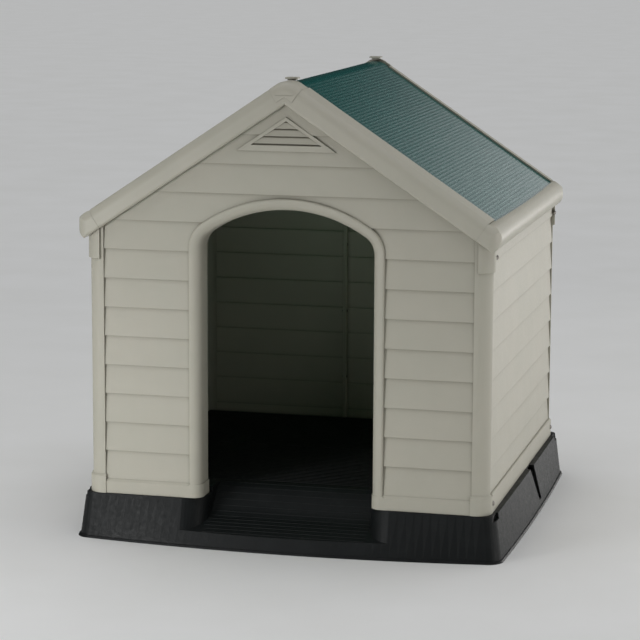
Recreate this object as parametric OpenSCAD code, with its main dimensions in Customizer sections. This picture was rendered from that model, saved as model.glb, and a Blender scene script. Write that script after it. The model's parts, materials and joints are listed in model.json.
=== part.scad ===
// Gabled plastic animal hutch: two-piece raised base, lap-sided walls with an
// arched doorway, and a ribbed roof that lifts off as one assembly.
// Millimetres. X is across the doorway, -Y is the door side, +Z is up.
// The origin is on the ground under the middle of the object.

/* [Walls] */
// Width over the corner posts
house_w = 918; // [880:1:940]
// Front-to-back depth over the corner posts
house_d = 907; // [880:1:920]
// How far the walls stand forward of the middle of the base
house_shift = 4.5; // [0:0.5:10]
// Height of one lap board
lap_h = 66; // [60:1:70]
// How far the top of each board sits back behind its bottom edge
lap_step = 4.5; // [3:0.5:6]
// Thickness of the moulded wall skin
skin = 4; // [3:0.5:6]
// Radius of the rounded corner posts
post_r = 28; // [20:1:32]
// Width of a corner post on the front and rear faces
post_w = 37; // [32:1:44]
// How far rails and corner bosses stand out from the posts
rail_out = 5; // [3:0.5:7]

/* [Doorway] */
// Clear width between the jambs
door_w = 394; // [360:1:410]
// Height of the crown of the arch above the ground
door_top = 763; // [740:1:780]
// Radius of the shallow arch over the doorway
arch_r = 316; // [300:1:360]
// Radius of the shoulders between arch and jambs
shoulder_r = 45; // [35:1:60]
// Width of the rounded moulding round the doorway
trim_w = 26; // [20:1:30]
// Depth of the jamb return behind the wall face
return_d = 60; // [40:1:66]

/* [Roof] */
// Rise of the roof over a run of three
roof_rise = 2; // [1.9:0.05:2.1]
// Height at which the two top planes of the roof would meet
roof_apex = 1054; // [1050:1:1060]
// Half width over the eaves
eave_x = 480; // [476:1:486]
// Front-to-back length of the roof
roof_d = 940; // [936:1:950]
// Width of a front rake trim measured along the ridge
rake_w = 82; // [70:1:90]
// Width of a rear rake trim measured along the ridge
rear_rake_w = 42; // [36:1:60]
// Thickness of the roof trims, square to the slope
trim_t = 48; // [44:1:52]
// Spacing of the fine ribs on the roof panels
rib_pitch = 9; // [8:0.5:14]
// Height of the fine ribs on the roof panels
rib_h = 0.15; // [0.1:0.05:1.2]

/* [Base] */
// Width over the foot of the base at mid-depth
base_w = 1000; // [990:1:1010]
// Depth over the foot of the base on its centre line
base_d = 1022; // [1010:1:1030]
// Height of the rim that the walls stand on
rim_z = 104; // [96:1:112]
// Height of the raised floor
floor_z = 118; // [112:1:122]
// Height of the porch lip
lip_z = 30; // [24:1:36]
// Clear half width of the porch between the cheeks
porch_x = 188; // [170:1:192]
// Spacing of the floor ribs
floor_pitch = 14; // [12:1:40]

/* [Hidden] */
$fn = 64;
eps = 0.01;

cream = [0.68, 0.66, 0.60];
green = [0.12, 0.38, 0.36];
black = [0.16, 0.17, 0.17];
steel = [0.35, 0.34, 0.33];

big = 1400;                                   // larger than the whole object
pitch = atan(roof_rise / 3);
slope = roof_rise / 3;
per_w = 1 / cos(pitch);                       // vertical drop for 1 mm square to the slope

post_x = house_w / 2;
front_y = -house_d / 2 - house_shift;         // front face of the posts
rear_y = house_d / 2 - house_shift;
board_back = 2;                               // boards sit this far behind the post face
rail_x = post_x + rail_out;
board_x = post_x - post_w;                    // outer ends of the front boards
wall_z = rim_z + 0.3;                         // walls stand on the rim
board_z = rim_z + 33;                         // lower edge of the first board
band_z = rim_z + 44;                          // top of the bottom rail band
collar_z = 640;                               // underside of the corner bosses
web = 4;                                      // thickness of the ledge under each board
laps = 13;                                    // boards from the rail to the ridge
body_drop = 36;                               // underside of the roof trims, square to the slope
wall_apex = roof_apex - (body_drop + 1) * per_w;
side_top = roof_apex - body_drop * per_w - slope * rail_x - 2;

// ---------- shared shapes ----------

function lap_z(k) = board_z + k * lap_h;

// Closed outline of a lapped skin: depth behind the face against height.
function lap_outline(n) = concat(
    [for (k = [0:n - 1]) each [[0, lap_z(k)], [lap_step, lap_z(k + 1)]]],
    [for (k = [n - 1:-1:1]) each [
        [skin + lap_step, lap_z(k + 1)], [skin, lap_z(k) + web], [skin + lap_step, lap_z(k) + web]]],
    [[skin + lap_step, lap_z(1)], [skin, lap_z(0)]]);

// A lapped sheet: face on the plane y = 0, inside towards +Y, running along +X.
module lap_sheet(width, n) {
    rotate([90, 0, 90]) linear_extrude(width) polygon(lap_outline(n));
}

// Outline drawn in x and z, made solid from y0 to y1.
module along_y(y0, y1) {
    translate([0, y1, 0]) rotate([90, 0, 0]) linear_extrude(y1 - y0) children();
}

// Outline drawn in y and z, made solid from x0 to x1.
module along_x(x0, x1) {
    translate([x0, 0, 0]) rotate([90, 0, 90]) linear_extrude(x1 - x0) children();
}

module both_sides() {
    children();
    mirror([1, 0, 0]) children();
}

// Mirrored front-to-back about the middle of the walls.
module at_rear() {
    translate([0, front_y + rear_y, 0]) mirror([0, 1, 0]) children();
}

// Sweeps a closed section along a path in the x-z plane. A station is [x, z, nx, nz], where
// n points outwards; a section point is [distance along n, y].
module sweep(stations, section) {
    n = len(section);
    last = len(stations) - 1;
    polyhedron(
        points = [for (s = stations, p = section) [s[0] + p[0] * s[2], p[1], s[1] + p[0] * s[3]]],
        faces = concat(
            [for (i = [0:last - 1], j = [0:n - 1]) each
                let (k = (j + 1) % n, a = i * n) [[a + j, a + n + k, a + n + j], [a + j, a + k, a + n + k]]],
            [[for (j = [n - 1:-1:0]) j], [for (j = [0:n - 1]) last * n + j]]));
}

// Everything below two roof planes that would meet at height apex.
module below_roof(apex) {
    along_y(-big, big) polygon([
        [-big, -big], [big, -big], [big, apex - slope * big], [0, apex], [-big, apex - slope * big]]);
}

// Plan of a block whose outer corner at (x1, y0) is rounded.
module corner_plan(x0, x1, y0, y1, r) {
    intersection() {
        translate([x0, y0]) square([x1 - x0, y1 - y0]);
        union() {
            translate([x1 - r, y0 + r]) circle(r);
            translate([x0, y0 + r]) square([x1 - x0, y1 - y0]);
            translate([x0, y0]) square([x1 - x0 - r, 2 * r]);
        }
    }
}

// ---------- corner posts ----------

return_y = front_y + post_r + 2;              // where a post meets the side wall
flange_y = return_y + 44;                     // rear end of the hidden flange
flange_x = post_x - 16;                       // inside face of the hidden flange

// Right-hand front post in plan: rounded skin, joggle and inner flange.
module post_plan() {
    difference() {
        corner_plan(board_x, post_x, front_y, return_y, post_r);
        corner_plan(board_x - 1, post_x - skin - 1, front_y + skin + 1, return_y + 1, post_r - skin - 1);
    }
    translate([flange_x, return_y - 5]) square([post_x - flange_x, 5]);
    translate([flange_x, return_y - 5]) square([skin + 1, flange_y - return_y + 5]);
}

// Proud band wrapped round a post, from x0 on the front face. Its section is drawn as
// distance out of the post's face against height.
module band(x0) {
    along_x(x0, post_x - post_r) translate([front_y, 0]) mirror([1, 0]) children();
    along_y(front_y + post_r, return_y) translate([post_x, 0]) children();
    translate([post_x - post_r, front_y + post_r, 0]) rotate([0, 0, -90])
        rotate_extrude(angle = 90) translate([post_r, 0]) children();
}

module rail_section() {
    polygon([[-1, wall_z], [rail_out, wall_z], [rail_out, band_z - 5], [0, band_z], [-1, band_z]]);
}

module collar_section() {
    polygon([[-1, collar_z], [rail_out, collar_z + 2], [rail_out, roof_apex], [-1, roof_apex]]);
}

screw_y = front_y + 36;                       // corner screws, from the front
screw_z = [wall_z + 22, collar_z + 33];
screw_r = 2.6;
screw_clear = 2.9;

module corner_screw_holes() {
    for (z = screw_z)
        translate([flange_x - 1, screw_y, z]) rotate([0, 90, 0]) cylinder(h = 30, r = screw_clear);
}

// A right-hand front post with its rail band, corner boss and screw holes.
module post() {
    difference() {
        intersection() {
            union() {
                translate([0, 0, wall_z]) linear_extrude(roof_apex - wall_z) post_plan();
                band(board_x - 2) rail_section();
                band(post_x - post_r - 1) collar_section();
            }
            below_roof(wall_apex);
        }
        corner_screw_holes();
    }
}

// Bottom rail between a post and x0, standing proud of the boards.
module bottom_rail(x0, x1, face_y) {
    along_x(x0, x1) polygon([
        [face_y - rail_out, wall_z], [face_y - rail_out, board_z - 6], [face_y - 1, board_z],
        [face_y + 8, board_z + 2], [face_y + 8, wall_z]]);
}

// ---------- doorway ----------

door_x = door_w / 2;
arch_z = door_top - arch_r;
shoulder_x = door_x - shoulder_r;
shoulder_dz = sqrt(pow(arch_r - shoulder_r, 2) - pow(shoulder_x, 2));
shoulder_z = arch_z + shoulder_dz;
arch_turn = atan(shoulder_x / shoulder_dz);   // half angle of the shallow arch
trim_out = 3;                                 // moulding stands out from the post face

// The doorway's outline, grown outwards.
module door_outline(grow) {
    reach = 2 * arch_r;
    translate([-door_x - grow, 0]) square([2 * (door_x + grow), shoulder_z]);
    for (side = [-1, 1]) translate([side * shoulder_x, shoulder_z]) circle(shoulder_r + grow);
    intersection() {
        translate([0, arch_z]) circle(arch_r + grow);
        translate([0, arch_z]) polygon([
            [0, 0], [-reach * sin(arch_turn), reach * cos(arch_turn)],
            [reach * sin(arch_turn), reach * cos(arch_turn)]]);
    }
}

// Section of the moulding: broad rounding into the opening, narrow edge over the boards, and a
// return into the wall.
function moulding_section() = let (
        edge_r = 4, inner_r = 20, steps = 8, nose = front_y - trim_out, back = nose + 15) concat(
    [[0, front_y + return_d], [skin, front_y + return_d], [skin, back], [trim_w, back]],
    [for (i = [0:3]) let (a = 30 * i) [trim_w - edge_r + edge_r * cos(a), nose + edge_r - edge_r * sin(a)]],
    [for (i = [0:steps]) let (a = 90 * i / steps)
        [inner_r - inner_r * sin(a), nose + inner_r - inner_r * cos(a)]]);

// Points round an arc, each with its outward direction.
function arc_stations(x, z, r, a0, a1, steps) = [
    for (i = [0:steps]) let (a = a0 + (a1 - a0) * i / steps)
        [x + r * cos(a), z + r * sin(a), cos(a), sin(a)]];

function door_stations() = let (turn = 90 - arch_turn) concat(
    [[door_x, wall_z, 1, 0]],
    arc_stations(shoulder_x, shoulder_z, shoulder_r, 0, turn, 10),
    [for (s = arc_stations(0, arch_z, arch_r, turn, 180 - turn, 24))
        if (abs(s[0]) < arch_r * cos(turn) - 1) s],
    arc_stations(-shoulder_x, shoulder_z, shoulder_r, 180 - turn, 180, 10),
    [[-door_x, wall_z, -1, 0]]);

module door_moulding() {
    sweep(door_stations(), moulding_section());
}

// Bottom rail carried round the foot of the right-hand jamb and into the doorway.
module jamb_foot() {
    into = 2.5;
    front = front_y + board_back - rail_out;
    mirror([1, 0, 0]) translate([0, 0, wall_z + 0.3]) linear_extrude(board_z - wall_z - 2)
        difference() {
            corner_plan(-door_x - trim_w - 1, into - door_x, front, front_y + return_d, 22);
            translate([-door_x - trim_w - 2, front_y + 15]) square([trim_w + 2 - skin, return_d]);
        }
}

// ---------- gable vent ----------

vent_z = 893;                                 // lower edge of the vent
vent_h = 75;                                  // height of the vent
vent_rim = 7;                                 // width of the frame, square to its sloping edge
vent_sill = 13;                               // height of the frame below the lowest slot
vent_plate = 4;                               // thickness of the frame's flange
slot_pitch = 16.6;
slot_h = 3.8;
vent_depth = 12;
vent_y = front_y + board_back - 0.8;          // front of the frame

// Triangle with its sides parallel to the roof, drawn in by inset square to the sloping edges.
module vent_triangle(inset, sill) {
    top = vent_h - inset * per_w;
    translate([0, vent_z]) polygon([
        [-(top - sill) / slope, sill], [(top - sill) / slope, sill], [0, top]]);
}

// Side view of one louvre gap: the face of the slat slopes back from z0, then the slot runs up
// and inwards under the slat above.
module louvre_gap(z0, z1) {
    tilt = 3;
    rise = vent_depth + 2;
    polygon([
        [-9, z0], [0, z0], [tilt, z1], [tilt + rise, z1 + rise], [tilt + rise, z1 + slot_h + rise],
        [0, z1 + slot_h], [-9, z1 + slot_h]]);
}

module gable_vent() {
    first = vent_z + vent_sill;
    color(cream) difference() {
        union() {
            along_y(vent_y, vent_y + vent_plate) vent_triangle(0, 0);
            along_y(vent_y, vent_y + vent_depth) vent_triangle(vent_rim / 2, vent_sill / 2);
        }
        intersection() {
            along_x(-big, big) translate([vent_y, 0]) {
                louvre_gap(first - 2, first);
                for (i = [1:3])
                    louvre_gap(first + (i - 1) * slot_pitch + slot_h, first + i * slot_pitch);
            }
            along_y(vent_y - 1, vent_y + vent_depth + 1) vent_triangle(vent_rim, vent_sill);
        }
    }
}

// ---------- walls ----------

module front_wall() {
    face = front_y + board_back;
    color(cream) {
        difference() {
            intersection() {
                union() {
                    translate([-board_x - 1, face, 0]) lap_sheet(2 * board_x + 2, laps);
                    for (side = [-1, 1])
                        bottom_rail(side > 0 ? door_x : -board_x - 1, side > 0 ? board_x + 1 : -door_x, face);
                }
                below_roof(wall_apex);
            }
            along_y(-big, big) door_outline(trim_w - 4);
            along_y(-big, big) vent_triangle(vent_rim / 2 - 0.5, vent_sill / 2 - 0.5);
            along_y(-big, vent_y + vent_plate + 0.1) vent_triangle(-0.2, -0.2);
        }
        both_sides() jamb_foot();
        door_moulding();
        both_sides() post();
    }
}

side_y0 = return_y + 0.4;
side_y1 = rear_y + front_y - side_y0;

module side_wall_right() {
    len = side_y1 - side_y0;
    color(cream) difference() {
        union() {
            intersection() {
                translate([post_x - 0.5, side_y0, 0]) rotate([0, 0, 90]) lap_sheet(len, laps);
                translate([0, -big, 0]) cube([big, 2 * big, side_top]);
            }
            along_y(side_y0, side_y1) polygon([
                [rail_x, wall_z], [rail_x, band_z - 3], [rail_x - 3, band_z],
                [post_x - 7, band_z], [post_x - 7, wall_z]]);
            // stiffening lip along the top edge, inside the eave
            translate([post_x - 14, side_y0 + 46, side_top - 12]) cube([9, len - 92, 12]);
        }
        corner_screw_holes();
        at_rear() corner_screw_holes();
    }
}

module side_wall_left() {
    mirror([1, 0, 0]) side_wall_right();
}

seam_x = -75;                                 // joint between the two rear panels
flange_d = 16;                                // depth of the joint flanges inside the wall
seam_screw_z = [for (i = [0:3]) board_z + 90 + i * 2.6 * lap_h];

// One rear panel from x0 to x1, boards facing +Y.
module rear_boards(x0, x1) {
    face = rear_y - board_back;
    intersection() {
        union() {
            translate([x1, face, 0]) rotate([0, 0, 180]) lap_sheet(x1 - x0, laps);
            translate([0, rear_y + front_y, 0]) mirror([0, 1, 0]) bottom_rail(x0, x1, front_y + board_back);
        }
        below_roof(wall_apex);
    }
}

// Upright flange where the two rear panels are screwed together.
module seam_flange(x0) {
    difference() {
        intersection() {
            translate([x0, rear_y - 10 - flange_d, floor_z + 2]) cube([skin, flange_d + 5, big]);
            below_roof(wall_apex - 30);
        }
        for (z = seam_screw_z)
            translate([x0 - 1, rear_y - flange_d - 2, z]) rotate([0, 90, 0]) cylinder(h = 8, r = 2.3);
    }
}

module rear_wall_right() {
    color(cream) {
        rear_boards(seam_x + 0.2, board_x + 1);
        seam_flange(seam_x + 0.2);
        at_rear() post();
    }
}

module rear_wall_left() {
    color(cream) {
        rear_boards(-board_x - 1, seam_x - 0.2);
        seam_flange(seam_x - 0.2 - skin);
        at_rear() mirror([1, 0, 0]) post();
    }
}

// ---------- fasteners ----------

// Dome-headed screw pointing along -Z, with a cross recess in the head.
module screw(head_r, head_h, shank_r, shank_l) {
    dome_r = (head_r * head_r + head_h * head_h) / (2 * head_h);
    difference() {
        intersection() {
            translate([0, 0, head_h - dome_r]) sphere(dome_r);
            cylinder(h = head_h, r = head_r);
        }
        for (a = [0, 90]) rotate([0, 0, a])
            translate([-head_r / 2, -0.7, head_h - 1.6]) cube([head_r, 1.4, 3]);
    }
    translate([0, 0, -shank_l]) cylinder(h = shank_l + eps, r = shank_r);
}

module corner_screws() {
    color(steel) both_sides() for (z = screw_z) {
        translate([rail_x + 0.05, screw_y, z]) rotate([0, 90, 0]) screw(6, 4, screw_r, 22);
        at_rear() translate([rail_x + 0.05, screw_y, z]) rotate([0, 90, 0]) screw(6, 4, screw_r, 22);
    }
}

module rear_seam_screws() {
    color(steel) for (z = seam_screw_z)
        translate([seam_x + 0.25 + skin, rear_y - flange_d - 2, z]) rotate([0, 90, 0]) screw(4, 2.6, 2, 12);
}

// ---------- base ----------

base_seam_y = 72.5;                           // joint between the two halves of the base
foot_h = 6;
base_skin = 5;
rim_x = rail_x + 13;
rim_front = front_y - rail_out - 1;
rim_rear = rear_y + 18;
side_bow = 7;

// Points round a corner of the skirt, turning from angle a.
function corner_points(x, y, r, a) = [
    for (i = [0:8]) let (b = a + 90 * i / 8) [x + r * cos(b), y + r * sin(b)]];

// Plan of the skirt, anticlockwise: rounded corners joined by gently bowed edges.
function skirt_ring(half_x, half_y0, half_y1, bow_x, bow_y, r) = let (
        x = half_x - bow_x - r,
        y0 = half_y0 + bow_y + r,
        y1 = half_y1 - bow_y - r,
        across = [for (i = [1:47]) i / 24 - 1],
        along = [for (i = [1:15]) i / 8 - 1]) concat(
    [for (u = across) [u * x, half_y0 + bow_y * u * u]],
    corner_points(x, y0, r, -90),
    [for (u = along) [half_x - bow_x * u * u, (y0 + y1) / 2 + u * (y1 - y0) / 2]],
    corner_points(x, y1, r, 0),
    [for (u = across) [-u * x, half_y1 - bow_y * u * u]],
    corner_points(-x, y1, r, 90),
    [for (u = along) [bow_x * u * u - half_x, (y0 + y1) / 2 - u * (y1 - y0) / 2]],
    corner_points(-x, y0, r, 180));

// Straight-sided solid between a ring at height z0 and one at z1.
module loft(low, z0, high, z1) {
    n = len(low);
    polyhedron(
        points = concat([for (p = low) [p[0], p[1], z0]], [for (p = high) [p[0], p[1], z1]]),
        faces = concat(
            [[for (i = [0:n - 1]) i], [for (i = [n - 1:-1:0]) n + i]],
            [for (i = [0:n - 1]) let (j = (i + 1) % n) [i, n + i, n + j]],
            [for (i = [0:n - 1]) let (j = (i + 1) % n) [i, n + j, j]]));
}

foot_x = base_w / 2 - 5;                      // skirt just above the foot bead
foot_y = base_d / 2 - 5;
front_bow = 34;                               // the front and rear of the foot bow out by this much
foot_r = 34;                                  // plan radius of the skirt's corners at the foot
rim_r = 30;                                   // and at the rim
rim_side_bow = 2;
rim_front_bow = 1;

// The skirt, drawn in by t, up to a height.
module skirt_solid(t, top) {
    loft(
        skirt_ring(foot_x - t, -foot_y + t, foot_y - t, side_bow, front_bow, foot_r),
        t > 0 ? -1 : foot_h - 1,
        skirt_ring(rim_x - t, rim_front + t, rim_rear - t, rim_side_bow, rim_front_bow, rim_r), top);
}

module foot_bead() {
    loft(
        skirt_ring(base_w / 2, -base_d / 2, base_d / 2, side_bow, front_bow, foot_r + 2), 0,
        skirt_ring(base_w / 2 - 2, 2 - base_d / 2, base_d / 2 - 2, side_bow, front_bow, foot_r + 1),
        foot_h - 1);
}

platform_x = flange_x - 3;
platform_y0 = front_y + return_d + 6;
platform_y1 = rear_y - 13;
ramp_y1 = platform_y0 + 72;                   // where the ramp reaches the floor
ramp_mid_y = front_y + 24;
ramp_mid_z = lip_z + 22;
lip_y = -base_d / 2;

// Top line of the porch in side view: lip, gentle slope, then an easy curve up to the floor.
function ramp_line() = let (steps = 12) concat(
    [[lip_y + 2, lip_z - 2], [lip_y + 10, lip_z + 1]],
    [for (i = [0:steps])
        let (t = i / steps)
        [ramp_mid_y + t * (ramp_y1 - ramp_mid_y),
            ramp_mid_z + (floor_z - ramp_mid_z) * (1 - cos(180 * t)) / 2 * (0.75 + 0.25 * t)
                + (1 - t) * t * 14]]);

// Side view of everything higher than the porch surface less t.
module above_ramp(t) {
    polygon(concat(
        [[lip_y - 40, lip_z - 4 - t]],
        [for (p = ramp_line()) [p[0], p[1] - t]],
        [[ramp_y1 + 8 * min(t, 1), floor_z - t], [ramp_y1 + 8 * min(t, 1), floor_z + 40],
            [lip_y - 40, floor_z + 40]]));
}

nose_r = 58;                                  // rounded noses of the porch cheeks
cheek_x = porch_x + nose_r + 6;

// Where the face of the skirt stands at a distance x from the middle and a height z.
function skirt_front(x, z) = let (
        t = (z - foot_h + 1) / (rim_z - foot_h + 1),
        u = x / ((1 - t) * (foot_x - side_bow - foot_r) + t * (rim_x - rim_side_bow - rim_r)))
    (1 - t) * (front_bow * u * u - foot_y) + t * (rim_front + rim_front_bow * u * u);

// Space in front of the right-hand cheek's rounded nose, which leans with the skirt.
module nose_space() {
    x = porch_x + nose_r;
    heights = [for (i = [0:5]) i * rim_z / 5];
    difference() {
        along_x(porch_x - 1, x) polygon(concat(
            [[-big, rim_z + 1], [-big, 0]],
            [for (z = heights) [skirt_front(x, z) + nose_r, z]],
            [[rim_front + nose_r, rim_z + 1]]));
        hull() for (z = heights)
            translate([x, skirt_front(x, z) + nose_r, z]) cylinder(h = 1.5, r = nose_r, $fn = 48);
    }
}

module porch_space() {
    intersection() {
        along_x(-porch_x - nose_r, porch_x + nose_r) above_ramp(0);
        union() {
            along_x(-porch_x, porch_x) translate([-big, 0]) square([2 * big, big]);
            both_sides() nose_space();
        }
    }
}

module porch_ribs() {
    for (y = [lip_y + 24:floor_pitch:ramp_y1])
        translate([-porch_x, y, lookup(y, ramp_line()) - 1]) cube([2 * porch_x, 4, 2]);
}

module floor_ribs(y0, y1) {
    for (y = [y0:floor_pitch:y1]) translate([-platform_x + 6, y, floor_z - eps])
        cube([2 * platform_x - 12, 4, 1.2]);
}

// Tapered opening in the skirt where the halves of the base meet.
module seam_slot() {
    both_sides() along_x(rail_x + 1, base_w) polygon([
        [base_seam_y - 52, rim_z + 1], [base_seam_y - 0.5, rim_z + 1],
        [base_seam_y + 28, 18], [base_seam_y + 3, 18]]);
}

module base_whole() {
    difference() {
        union() {
            skirt_solid(0, rim_z);
            foot_bead();
            translate([-platform_x, platform_y0, rim_z - 20])
                cube([2 * platform_x, platform_y1 - platform_y0, floor_z - rim_z + 20]);
        }
        // hollow underside, following the porch
        difference() {
            skirt_solid(base_skin, rim_z - base_skin);
            along_x(-cheek_x, cheek_x) above_ramp(base_skin + 1);
        }
        translate([-platform_x + 6, ramp_y1 + 8, -1])
            cube([2 * platform_x - 12, platform_y1 - ramp_y1 - 14, floor_z - base_skin + 1]);
        both_sides() translate([cheek_x, platform_y0 + 6, -1])
            cube([platform_x - cheek_x - 6, ramp_y1 - platform_y0 + 3, floor_z - base_skin + 1]);
        porch_space();
        seam_slot();
        // small notches in the rim behind each corner
        both_sides() for (y = [rim_front + 10, rim_rear - 56])
            translate([rail_x + 5, y, rim_z - 13]) cube([40, 40, 30]);
    }
}

module base_front() {
    color(black) {
        intersection() {
            base_whole();
            translate([-big, -big, -1]) cube([2 * big, big + base_seam_y - 0.2, big]);
        }
        floor_ribs(ramp_y1 + 12, base_seam_y - 8);
        porch_ribs();
    }
}

tongue_z = floor_z - base_skin - 6.2;
base_screw_x = [-360, -120, 120, 360];

module base_rear() {
    color(black) {
        intersection() {
            base_whole();
            translate([-big, base_seam_y + 0.2, -1]) cube([2 * big, big, big]);
        }
        // tongue under the front half's floor
        difference() {
            translate([-platform_x + 12, base_seam_y - 24, tongue_z]) cube([2 * platform_x - 24, 40, 6]);
            for (x = base_screw_x) translate([x, base_seam_y - 12, tongue_z - 1]) cylinder(h = 10, r = 2.9);
        }
        translate([-platform_x + 12, base_seam_y + 8, tongue_z + 5]) cube([2 * platform_x - 24, 8, 2]);
        floor_ribs(base_seam_y + 8, platform_y1 - 10);
    }
}

module base_screws() {
    color(steel) for (x = base_screw_x)
        translate([x, base_seam_y - 12, tongue_z - 0.05]) rotate([180, 0, 0]) screw(5, 3, 2.6, 6.2);
}

// ---------- roof ----------

roof_y = roof_d / 2;
roof_mid = front_y / 2 + rear_y / 2;          // middle of the roof lies over the middle of the walls
roof_y0 = roof_mid - roof_y;
roof_y1 = roof_mid + roof_y;
inset = 0.6;                                  // rake trims sit inside the corner and ridge pieces
eave_r = 32;                                  // half-round nose of the eaves
plan_r = 26;                                  // corners of the roof seen from above
ridge_r = 40;                                 // rounded ridge
panel_in = 4.6;                               // panels lie this far below the trims
panel_t = 6;
lap_in = 14;                                  // panel edge held in the trims' grooves
panel_u = 547;                                // visible length of a panel down the slope
rake_u1 = 544;                                // lower end of a rake trim
fit = 0.05;                                   // gap between trims that butt together
fascia = 10;
cap_u = 44;                                   // length of a ridge cap down each slope
cap_t = 34;                                   // depth of a ridge cap, square to the slope

// Outline drawn in (distance down the slope, height square to it), on the right-hand slope.
module on_slope(apex) {
    translate([0, apex]) rotate(-pitch) children();
}

// A gable outline with a rounded ridge, seen from the front.
module gable_outline(apex, r) {
    tx = r * sin(pitch);
    cz = apex - r * per_w;
    difference() {
        polygon([[-big, apex - slope * big], [0, apex], [big, apex - slope * big]]);
        polygon([[-tx, cz + r * cos(pitch)], [0, apex + 1], [tx, cz + r * cos(pitch)]]);
    }
    translate([0, cz]) circle(r);
}

eave_c = [eave_x - eave_r, roof_apex - eave_r * per_w - slope * (eave_x - eave_r)];

// Outer form of the whole roof: rounded ridge and half-round eaves, less dx all round.
module roof_outline(dx) {
    intersection() {
        gable_outline(roof_apex - dx * per_w, ridge_r - dx);
        union() {
            translate([-eave_c[0], 0]) square([2 * eave_c[0], big]);
            for (side = [-1, 1]) translate([side * eave_c[0], eave_c[1]]) circle(eave_r - dx);
        }
    }
}

// Section of the front rake in y and distance below the top plane: rounded nose, fascia, less dx.
module rake_section(dx, width) {
    nose = 22;
    foot = 6;
    y0 = roof_y0 + dx;
    y1 = roof_y0 + width;
    intersection() {
        translate([y0 + nose - dx, -nose]) circle(nose - dx);
        translate([y0, -nose]) square([nose, nose]);
    }
    translate([y0 + nose - dx, -nose]) square([y1 - y0 - nose + dx, nose - dx]);
    intersection() {
        union() {
            translate([y0 + foot, -trim_t + foot]) circle(foot);
            translate([y0, -trim_t + foot]) square([fascia, trim_t - foot - nose]);
            translate([y0 + foot, -trim_t]) square([fascia, trim_t - nose]);
        }
        translate([y0, -trim_t]) square([fascia, trim_t]);
    }
    translate([y0, -body_drop]) square([y1 - y0, body_drop - nose]);
}

// Extrudes a (y, w) section down the right-hand slope from u0 to u1.
module down_slope(u0, u1) {
    translate([0, 0, roof_apex]) rotate([0, pitch, 0]) along_x(u0, u1) children();
}

screw_us = [90:130:480];                      // roof screws, from the ridge down the slope

// Puts a screw or its hole at each place along the right-hand rake, pointing up into the roof.
module at_roof_screws(width) {
    for (u = screw_us) translate([0, 0, roof_apex]) rotate([0, pitch, 0])
        translate([u, roof_y0 + width - 7, -body_drop - 0.05]) rotate([180, 0, 0]) children();
}

module rake_trim(width) {
    difference() {
        down_slope(cap_u + fit, rake_u1) difference() {
            rake_section(inset, width);
            // groove that holds a panel edge
            translate([roof_y0 + width - lap_in, -panel_in - panel_t - 0.3])
                square([lap_in + 1, panel_t + 0.6]);
            translate([roof_y0 + fascia + 2, -body_drop + 6]) square([width - lap_in - fascia - 8, 20]);
        }
        at_roof_screws(width) translate([0, 0, -30]) cylinder(h = 32, r = 2.1);
    }
    // lower edge carried on to the ridge, behind and below the cap
    difference() {
        down_slope(-trim_t, cap_u + 2 * fit) intersection() {
            rake_section(inset, width);
            translate([-big, -2 * trim_t]) square([2 * big, 2 * trim_t - cap_t - fit]);
        }
        translate([fit - big, -big, 0]) cube([big, 2 * big, big]);
        // room for the cap where it rounds the ridge
        along_y(-big, big) translate([0, roof_apex - ridge_r * per_w]) difference() {
            polygon([[-1, 0], [0, 0], [big * sin(pitch), big * cos(pitch)], [-1, big]]);
            circle(ridge_r - cap_t - 2 * fit);
        }
    }
}

module rake_trim_front_right() { color(cream) rake_trim(rake_w); }
module rake_trim_front_left() { color(cream) mirror([1, 0, 0]) rake_trim(rake_w); }
module rake_trim_rear_right() { color(cream) at_rear() rake_trim(rear_rake_w); }
module rake_trim_rear_left() { color(cream) at_rear() mirror([1, 0, 0]) rake_trim(rear_rake_w); }

// Plan of the roof with rounded corners.
module roof_plan() {
    translate([-eave_x + plan_r, roof_y0]) square([2 * (eave_x - plan_r), roof_d]);
    translate([-eave_x, roof_y0 + plan_r]) square([2 * eave_x, roof_d - 2 * plan_r]);
    for (x = [-1, 1], y = [roof_y0 + plan_r, roof_y1 - plan_r])
        translate([x * (eave_x - plan_r), y]) circle(plan_r);
}

// Right-hand slope of the roof, rounded on every outer edge, from u0 to the eave.
module roof_form(u0) {
    intersection() {
        along_y(roof_y0, roof_y1) roof_outline(0);
        linear_extrude(big) roof_plan();
        union() {
            down_slope(u0, big) {
                rake_section(0, rake_w);
                translate([roof_y0 + 24, -trim_t - 40]) square([roof_d - 48, trim_t + 40]);
                translate([front_y + rear_y, 0]) mirror([1, 0]) rake_section(0, rear_rake_w);
            }
        }
    }
}

eave_bow = 5;                                 // the inner edge of the eaves bows outwards

// Plan, in the plane of the slope, of the opening that the eave trim leaves for the panel.
module panel_opening(grow) {
    y0 = roof_y0 + rake_w - grow;
    y1 = roof_y1 - rear_rake_w + grow;
    steps = 8;
    polygon(concat(
        [[0, y1], [0, y0]],
        [for (i = [-steps:steps])
            [panel_u + grow + eave_bow * (1 - pow(i / steps, 2)),
                (y0 + y1) / 2 + i / steps * (y1 - y0) / 2]]));
}

// Makes a plan drawn in the plane of the right-hand slope solid from w0 to w1 above it.
module off_slope(w0, w1) {
    translate([0, 0, roof_apex]) rotate([0, pitch, 0]) translate([0, 0, w0])
        linear_extrude(w1 - w0) children();
}

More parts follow.
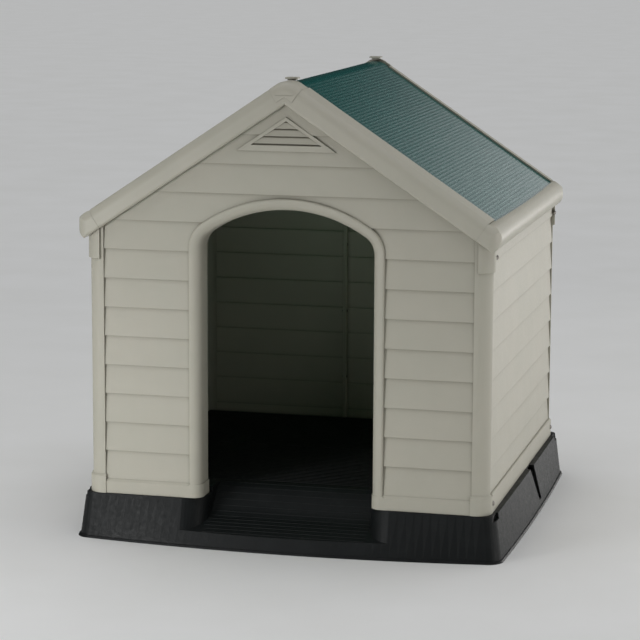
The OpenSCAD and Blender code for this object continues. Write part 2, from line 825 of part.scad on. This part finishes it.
module eave_trim_right() {
    color(cream) difference() {
        roof_form(rake_u1 + fit);
        off_slope(-body_drop - 1, 20) panel_opening(0);
        off_slope(-panel_in - panel_t - 0.3, -panel_in + 0.3) panel_opening(lap_in);
        // room for the walls
        along_y(front_y - rail_out - 1.2, rear_y + rail_out + 1.2) intersection() {
            on_slope(roof_apex) translate([0, -body_drop - big]) square([big, big]);
            square([rail_x + 2.5, big]);
        }
        // drip groove near the rear end
        along_y(roof_y1 - 9, roof_y1 - 6.5) difference() {
            roof_outline(-2);
            roof_outline(2.5);
        }
    }
}

module eave_trim_left() {
    mirror([1, 0, 0]) eave_trim_right();
}

// One ribbed panel: flat slope with ribs along the ridge, and half of the rounded ridge.
module roof_panel_right() {
    top = roof_apex - panel_in * per_w;
    ridge = ridge_r - panel_in + 4;
    u0 = ridge * tan(pitch);
    u1 = panel_u + lap_in - 4;
    centre_z = top - ridge * per_w;
    color(green) {
        along_y(roof_y0 + rake_w - lap_in + 0.5, roof_y1 - rear_rake_w + lap_in - 0.5) difference() {
            union() {
                on_slope(top) translate([u0 - eps, -panel_t]) square([u1 - u0, panel_t]);
                translate([0, centre_z]) intersection() {
                    difference() {
                        circle(ridge);
                        circle(ridge - panel_t);
                    }
                    polygon([[0, 0], [0, big], [big * sin(pitch), big * cos(pitch)]]);
                }
            }
            translate([-1, 0]) square([1.15, big]);
        }
        along_y(roof_y0 + rake_w + 1, roof_y1 - rear_rake_w - 1) {
            on_slope(top) for (u = [u0 + 4:rib_pitch:panel_u - 8]) translate([u, 0]) panel_rib();
            translate([0, centre_z]) for (a = [8, 21]) rotate(-a) translate([0, ridge]) panel_rib();
        }
    }
}

// Low rounded rib, seen end on.
module panel_rib() {
    polygon([[-3.6, -0.1], [-3, 0], [-0.9, rib_h], [0.9, rib_h], [3, 0], [3.6, -0.1]]);
}

module roof_panel_left() {
    mirror([1, 0, 0]) roof_panel_right();
}

// Folded beam with a central web, under the ridge, that joins the two panels.
module ridge_beam() {
    top = roof_apex - (panel_in + panel_t) * per_w - 7.5;
    wall = 4;
    half = 60;
    drop = slope * half;
    under = top - wall * per_w;
    color(cream) along_y(roof_y0 + rake_w + 1, roof_y1 - rear_rake_w - 1) polygon([
        [-half, under - drop], [-half, top - drop], [0, top], [half, top - drop], [half, under - drop],
        [wall / 2, under - slope * wall / 2], [wall / 2, top - half],
        [-wall / 2, top - half], [-wall / 2, under - slope * wall / 2]]);
}

// Path over the ridge, from one lower end of a cap to the other.
function ridge_stations() = let (
        foot = [cap_u * cos(pitch), roof_apex - cap_u * sin(pitch)], n = [sin(pitch), cos(pitch)]) concat(
    [[foot[0], foot[1], n[0], n[1]]],
    arc_stations(0, roof_apex - ridge_r * per_w, ridge_r, 90 - pitch, 90 + pitch, 20),
    [[-foot[0], foot[1], -n[0], n[1]]]);

// Section of a ridge cap, with the same rounded nose as the rakes.
function cap_section(width) = let (
        nose = 22,
        y0 = roof_y0 - 0.6,
        y1 = roof_y0 + width - lap_in - 1,
        steps = 8) concat(
    [[-cap_t, y0], [-cap_t, y1], [0, y1]],
    [for (i = [0:steps]) let (a = 90 * i / steps) [-nose + nose * cos(a), y0 + nose - nose * sin(a)]]);

// Saddle over the joint of two rake trims, with a plain oval panel on its face.
module ridge_cap(width) {
    y0 = roof_y0 - 0.6;
    color(cream) difference() {
        sweep(ridge_stations(), cap_section(width));
        along_y(y0 - 1, y0 + 0.6) translate([0, roof_apex - 31]) difference() {
            oval(24, 7);
            oval(22.4, 5.4);
        }
    }
}

module oval(half, r) {
    translate([-half + r, -r]) square([2 * (half - r), 2 * r]);
    for (x = [-1, 1]) translate([x * (half - r), 0]) circle(r);
}

module ridge_cap_front() { ridge_cap(rake_w); }
module ridge_cap_rear() { at_rear() ridge_cap(rear_rake_w); }

// Low tab on a broad stem that locks a ridge cap over the panels.
module ridge_clip(width) {
    y = roof_y0 + width - 20;
    top = roof_apex - ridge_r * (per_w - 1);
    half = 14;
    color(cream) {
        along_y(y, y + 24) translate([-half, top + 2.4]) square([2 * half, 3.4]);
        along_y(y + 5, y + 18) translate([4 - half, top - 0.4]) square([2 * half - 8, 3.4]);
    }
}

module ridge_clip_front() { ridge_clip(rake_w); }
module ridge_clip_rear() { at_rear() ridge_clip(rear_rake_w); }

// Screws up through the rake trims into the panels, heads hidden above the walls.
module roof_screws() {
    color(steel) both_sides() {
        at_roof_screws(rake_w) screw(4, 0.95, 1.9, 25);
        at_rear() at_roof_screws(rear_rake_w) screw(4, 0.95, 1.9, 25);
    }
}

base_front();
base_rear();
base_screws();
front_wall();
gable_vent();
side_wall_left();
side_wall_right();
rear_wall_left();
rear_wall_right();
rear_seam_screws();
corner_screws();
roof_panel_left();
roof_panel_right();
ridge_beam();
rake_trim_front_left();
rake_trim_front_right();
rake_trim_rear_left();
rake_trim_rear_right();
eave_trim_left();
eave_trim_right();
ridge_cap_front();
ridge_cap_rear();
ridge_clip_front();
ridge_clip_rear();
roof_screws();
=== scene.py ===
"""Looks of the gabled plastic animal hutch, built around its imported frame."""
import json
import math

import bpy
from mathutils import Matrix, Vector

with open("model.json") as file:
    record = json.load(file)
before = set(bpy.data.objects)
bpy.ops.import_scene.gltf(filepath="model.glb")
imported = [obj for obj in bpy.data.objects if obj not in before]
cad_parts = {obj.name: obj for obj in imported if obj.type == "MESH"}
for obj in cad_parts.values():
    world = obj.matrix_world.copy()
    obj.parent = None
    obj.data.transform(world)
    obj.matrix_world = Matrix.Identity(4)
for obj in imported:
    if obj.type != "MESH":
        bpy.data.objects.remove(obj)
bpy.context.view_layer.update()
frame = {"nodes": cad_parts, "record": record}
NODES = frame["nodes"]
MM = 0.001
WARM = (1.0, 0.975, 0.95)
GREEN_TINT = (0.5, 1.0, 0.6)


# ---------- material helpers ----------

class Shader:
    """A material under construction: adds nodes and links them to each other."""

    def __init__(self, name):
        self.material = bpy.data.materials.new(name)
        self.material.use_nodes = True
        self.tree = self.material.node_tree
        self.bsdf = self.tree.nodes["Principled BSDF"]
        self.place = self.add("ShaderNodeTexCoord").outputs["Object"]

    def add(self, kind, **settings):
        node = self.tree.nodes.new(kind)
        for key, value in settings.items():
            setattr(node, key, value)
        return node

    def feed(self, socket, value):
        """Links an output to a socket, or sets the socket's own value."""
        if isinstance(value, bpy.types.NodeSocket):
            self.tree.links.new(value, socket)
        else:
            socket.default_value = value

    def stretched(self, scale):
        """The object's own coordinates, in metres, times a scale for each axis."""
        node = self.add("ShaderNodeMapping")
        self.feed(node.inputs["Vector"], self.place)
        node.inputs["Scale"].default_value = scale
        return node.outputs["Vector"]

    def noise(self, per_metre, detail=3.0, rough=0.5, place=None):
        node = self.add("ShaderNodeTexNoise")
        self.feed(node.inputs["Vector"], place or self.place)
        node.inputs["Scale"].default_value = per_metre
        node.inputs["Detail"].default_value = detail
        node.inputs["Roughness"].default_value = rough
        return node.outputs["Fac"]

    def cells(self, per_metre, place=None):
        node = self.add("ShaderNodeTexVoronoi", feature="SMOOTH_F1")
        self.feed(node.inputs["Vector"], place or self.place)
        node.inputs["Scale"].default_value = per_metre
        return node.outputs["Distance"]

    def span(self, value, low, high, to_low=0.0, to_high=1.0):
        """Takes low..high to to_low..to_high, and stops at the ends."""
        node = self.add("ShaderNodeMapRange", clamp=True)
        self.feed(node.inputs["Value"], value)
        node.inputs["From Min"].default_value = low
        node.inputs["From Max"].default_value = high
        node.inputs["To Min"].default_value = to_low
        node.inputs["To Max"].default_value = to_high
        return node.outputs["Result"]

    def math(self, how, first, second):
        node = self.add("ShaderNodeMath", operation=how)
        self.feed(node.inputs[0], first)
        self.feed(node.inputs[1], second)
        return node.outputs["Value"]

    def sum_of(self, first, second):
        return self.math("ADD", first, second)

    def product(self, first, second):
        return self.math("MULTIPLY", first, second)

    def blend(self, amount, first, second):
        """Mixes two colours."""
        node = self.add("ShaderNodeMix", data_type="RGBA")
        self.feed(node.inputs["Factor"], amount)
        self.feed(node.inputs[6], first)
        self.feed(node.inputs[7], second)
        return node.outputs[2]

    def bump(self, height, depth, under=None):
        """Raises the surface by height times depth, in metres."""
        node = self.add("ShaderNodeBump")
        node.inputs["Strength"].default_value = 1.0
        node.inputs["Distance"].default_value = depth
        self.feed(node.inputs["Height"], height)
        if under is not None:
            self.feed(node.inputs["Normal"], under)
        return node.outputs["Normal"]

    def soft_edges(self, radius):
        node = self.add("ShaderNodeBevel", samples=4)
        node.inputs["Radius"].default_value = radius
        return node.outputs["Normal"]

    def crevices(self, reach):
        """0 in the open, towards 1 in a corner or groove."""
        node = self.add("ShaderNodeAmbientOcclusion", samples=8)
        node.inputs["Distance"].default_value = reach
        return self.span(node.outputs["AO"], 0.35, 0.95, 1.0, 0.0)

    def height_z(self):
        node = self.add("ShaderNodeSeparateXYZ")
        self.feed(node.inputs["Vector"], self.place)
        return node.outputs["Z"]


def cream(name, tone, grain_per_metre, grain_depth, rough):
    """Moulded cream plastic: fine grain, faint mottling, painted shade in the grooves and patchy soiling
    low down.
    """
    s = Shader(name)
    light = (*tone, 1)
    cool = (tone[0] * 0.95, tone[1] * 0.965, tone[2] * 0.96, 1)
    # Darker tone mixed in, both for the painted shade in grooves and for the soiling low down.
    darker_tone = (tone[0] * 0.30, tone[1] * 0.28, tone[2] * 0.24, 1)
    body = s.blend(s.span(s.noise(5, 4, 0.6), 0.35, 0.65), light, cool)
    drift = s.noise(1, 3, 0.6, s.stretched((60, 60, 4)))
    body = s.blend(s.span(drift, 0.5, 0.8, 0.0, 0.35), body, cool)
    low_down = s.span(s.height_z(), 0.10, 0.30, 0.08, 0.0)
    patchy = s.product(low_down, s.noise(22, 5, 0.65))
    # Painted shade: ambient occlusion darkens grooves and corners; the patchy part low down is soiling on
    # the plastic.
    darkening = s.sum_of(s.product(s.crevices(10 * MM), 0.55), patchy)
    s.feed(s.bsdf.inputs["Base Color"], s.blend(darkening, body, darker_tone))
    s.feed(s.bsdf.inputs["Roughness"], s.span(s.noise(160, 4, 0.6), 0.3, 0.7, rough - 0.07, rough + 0.07))
    s.bsdf.inputs["Specular IOR Level"].default_value = 0.42
    s.bsdf.inputs["Subsurface Weight"].default_value = 0.04
    s.bsdf.inputs["Subsurface Radius"].default_value = (0.004, 0.003, 0.002)
    normal = s.bump(s.noise(7, 2, 0.4), 2.8 * MM, s.soft_edges(0.9 * MM))
    normal = s.bump(s.cells(grain_per_metre), grain_depth, normal)
    s.feed(s.bsdf.inputs["Normal"], normal)
    return s.material


def green(name, tone):
    """Glossy green roof plastic with fine drag lines along the ribs."""
    s = Shader(name)
    deep = (*tone, 1)
    dusty = (tone[0] * 1.8, tone[1] * 1.3, tone[2] * 1.3, 1)
    lines = s.noise(1, 4, 0.65, s.stretched((420, 5, 420)))
    cloud = s.noise(6, 4, 0.6)
    wash = s.sum_of(s.span(lines, 0.35, 0.75, 0.0, 0.45), s.span(cloud, 0.4, 0.7, 0.0, 0.35))
    body = s.blend(wash, deep, dusty)
    # Painted shade: ambient occlusion darkens the green in grooves and corners.
    darker_tone = (0.008, 0.020, 0.018, 1)
    body = s.blend(s.product(s.crevices(6 * MM), 0.6), body, darker_tone)
    s.feed(s.bsdf.inputs["Base Color"], body)
    s.feed(s.bsdf.inputs["Roughness"], s.span(lines, 0.3, 0.7, 0.15, 0.22))
    s.bsdf.inputs["Specular IOR Level"].default_value = 0.5
    normal = s.bump(s.cells(1100), 0.04 * MM, s.bump(lines, 0.10 * MM))
    s.feed(s.bsdf.inputs["Normal"], normal)
    return s.material


def charcoal(name, tone):
    """Coarse moulded charcoal plastic, dusty and scuffed in patches."""
    s = Shader(name)
    dark = (*tone, 1)
    dust = (tone[0] * 2.6, tone[1] * 2.5, tone[2] * 2.4, 1)
    scuffs = s.span(s.noise(28, 6, 0.7), 0.5, 0.8, 0.0, 0.5)
    specks = s.span(s.noise(700, 2, 0.6), 0.55, 0.75, 0.0, 0.35)
    body = s.blend(s.sum_of(scuffs, specks), dark, dust)
    # Painted shade: ambient occlusion darkens the charcoal in crevices and corners.
    crevice_shade_tone = (0.006, 0.006, 0.006, 1)
    darkening = s.product(s.crevices(12 * MM), 0.6)
    s.feed(s.bsdf.inputs["Base Color"], s.blend(darkening, body, crevice_shade_tone))
    s.feed(s.bsdf.inputs["Roughness"], s.span(s.noise(120, 4, 0.6), 0.3, 0.7, 0.42, 0.58))
    s.bsdf.inputs["Specular IOR Level"].default_value = 0.2
    normal = s.bump(s.noise(9, 2, 0.4), 2.2 * MM, s.soft_edges(1.6 * MM))
    normal = s.bump(s.cells(620), 0.16 * MM, normal)
    normal = s.bump(s.noise(1500, 2, 0.5), 0.10 * MM, normal)
    s.feed(s.bsdf.inputs["Normal"], normal)
    return s.material


def steel(name):
    """Dark plated screw steel with fine turning marks."""
    s = Shader(name)
    marks = s.noise(2600, 3, 0.6)
    dull = (0.22, 0.205, 0.185, 1)
    bright = (0.42, 0.40, 0.37, 1)
    s.feed(s.bsdf.inputs["Base Color"], s.blend(s.span(s.noise(300, 4, 0.6), 0.4, 0.7), dull, bright))
    s.bsdf.inputs["Metallic"].default_value = 1.0
    s.feed(s.bsdf.inputs["Roughness"], s.span(marks, 0.3, 0.7, 0.28, 0.46))
    s.feed(s.bsdf.inputs["Normal"], s.bump(marks, 0.05 * MM, s.soft_edges(0.3 * MM)))
    return s.material


FINISHES = {
    "wall_plastic": cream("wall_plastic", (0.49, 0.47, 0.395), 850, 0.10 * MM, 0.52),
    "trim_plastic": cream("trim_plastic", (0.50, 0.48, 0.405), 1100, 0.06 * MM, 0.45),
    "roof_plastic": green("roof_plastic", (0.008, 0.100, 0.090)),
    "base_plastic": charcoal("base_plastic", (0.0058, 0.0072, 0.0075)),
    "screw_steel": steel("screw_steel"),
}


def finish_frame():
    """Gives every CAD node the finish of its slot."""
    for part in frame["record"]["subparts"]:
        for place in NODES[part["node"]].material_slots:
            place.material = FINISHES[part["material_slot"]]


# ---------- studio ----------

def add_floor():
    """A plain pale floor that runs past the edge of the view."""
    size = 120.0
    pale = (0.86, 0.86, 0.85, 1)
    paler = (0.89, 0.89, 0.885, 1)
    s = Shader("studio_floor")
    mottle = s.span(s.noise(3, 3, 0.5), 0.3, 0.7)
    s.feed(s.bsdf.inputs["Base Color"], s.blend(mottle, pale, paler))
    s.bsdf.inputs["Roughness"].default_value = 0.9
    s.bsdf.inputs["Specular IOR Level"].default_value = 0.0
    bpy.ops.mesh.primitive_plane_add(size=size, location=(0, 0, 0))
    floor = bpy.context.object
    floor.name = "studio_floor"
    floor.data.materials.append(s.material)


def add_softbox(name, place, aim, size, power, tint=(1, 1, 1), spread=180):
    """A square area light in metres and watts, facing aim, with a beam spread degrees wide."""
    data = bpy.data.lights.new(name, "AREA")
    data.spread = math.radians(spread)
    data.shape = "SQUARE"
    data.size = size
    data.energy = power
    data.color = tint
    lamp = bpy.data.objects.new(name, data)
    lamp.location = place
    lamp.rotation_euler = (Vector(aim) - Vector(place)).to_track_quat("-Z", "Y").to_euler()
    bpy.context.scene.collection.objects.link(lamp)


def add_world():
    """A white horizon behind the hutch and to its right, and a white patch straight overhead."""
    world = bpy.data.worlds.new("studio")
    world.use_nodes = True
    tree = world.node_tree
    direction = tree.nodes.new("ShaderNodeSeparateXYZ")
    tree.links.new(tree.nodes.new("ShaderNodeTexCoord").outputs["Generated"], direction.inputs["Vector"])

    def ramp(axis, low, high, to_low, to_high):
        node = tree.nodes.new("ShaderNodeMapRange")
        node.interpolation_type = "SMOOTHSTEP"
        tree.links.new(direction.outputs[axis], node.inputs["Value"])
        for name, value in zip(("From Min", "From Max", "To Min", "To Max"), (low, high, to_low, to_high)):
            node.inputs[name].default_value = value
        return node.outputs["Result"]

    def combine(how, first, second):
        node = tree.nodes.new("ShaderNodeMath")
        node.operation = how
        tree.links.new(first, node.inputs[0])
        tree.links.new(second, node.inputs[1])
        return node.outputs["Value"]

    behind = combine("MULTIPLY", ramp("Y", -0.2, 0.6, 0.05, 1.0), ramp("X", -0.09, 0.05, 0.03, 1.0))
    horizon = combine("MULTIPLY", behind, ramp("Z", 0.17, 0.26, 1.0, 0.03))
    overhead = ramp("Z", 0.55, 0.95, 0.0, 1.25)
    background = tree.nodes["Background"]
    background.inputs["Color"].default_value = (0.98, 0.99, 1.0, 1)
    tree.links.new(combine("ADD", horizon, overhead), background.inputs["Strength"])
    bpy.context.scene.world = world
    bpy.context.scene.view_settings.view_transform = "Standard"


def add_camera():
    """A long lens a little above the roof, to the right of the doorway."""
    yaw = math.radians(13.947)
    dip = math.radians(9.487)
    roll = math.radians(0.255)
    ahead = Vector((-math.sin(yaw) * math.cos(dip), math.cos(yaw) * math.cos(dip), -math.sin(dip)))
    level = Vector((math.cos(yaw), math.sin(yaw), 0))
    upright = level.cross(ahead)
    right = math.cos(roll) * level + math.sin(roll) * upright
    up = math.cos(roll) * upright - math.sin(roll) * level
    data = bpy.data.cameras.new("camera")
    data.lens = 136.23
    data.sensor_width = 36.0
    camera = bpy.data.objects.new("camera", data)
    turn = Matrix((right, up, -ahead)).transposed().to_4x4()
    camera.matrix_world = Matrix.Translation((1.3448, -5.5567, 1.4022)) @ turn
    bpy.context.scene.collection.objects.link(camera)
    bpy.context.scene.camera = camera


finish_frame()
add_floor()
add_softbox("side", (3.4, -0.5, 0.1), (0, 0, 0), 1.6, 15, WARM, spread=110)
add_softbox("rim", (3.0, 4.2, 0.4), (0.5, 0, 0.1), 1.2, 10, WARM, spread=90)
add_softbox("front", (-1.7, -2.9, 0.35), (-0.35, -0.4, -0.15), 0.8, 8.5, spread=80)
add_softbox("fill", (2.0, -4.2, 2.4), (0, -0.2, 0.5), 1.4, 1.6, spread=100)
add_softbox("roof_glow", (0, 0.1, 0.80), (0, 0.1, 0), 0.5, 0.10, GREEN_TINT)
add_world()
add_camera()
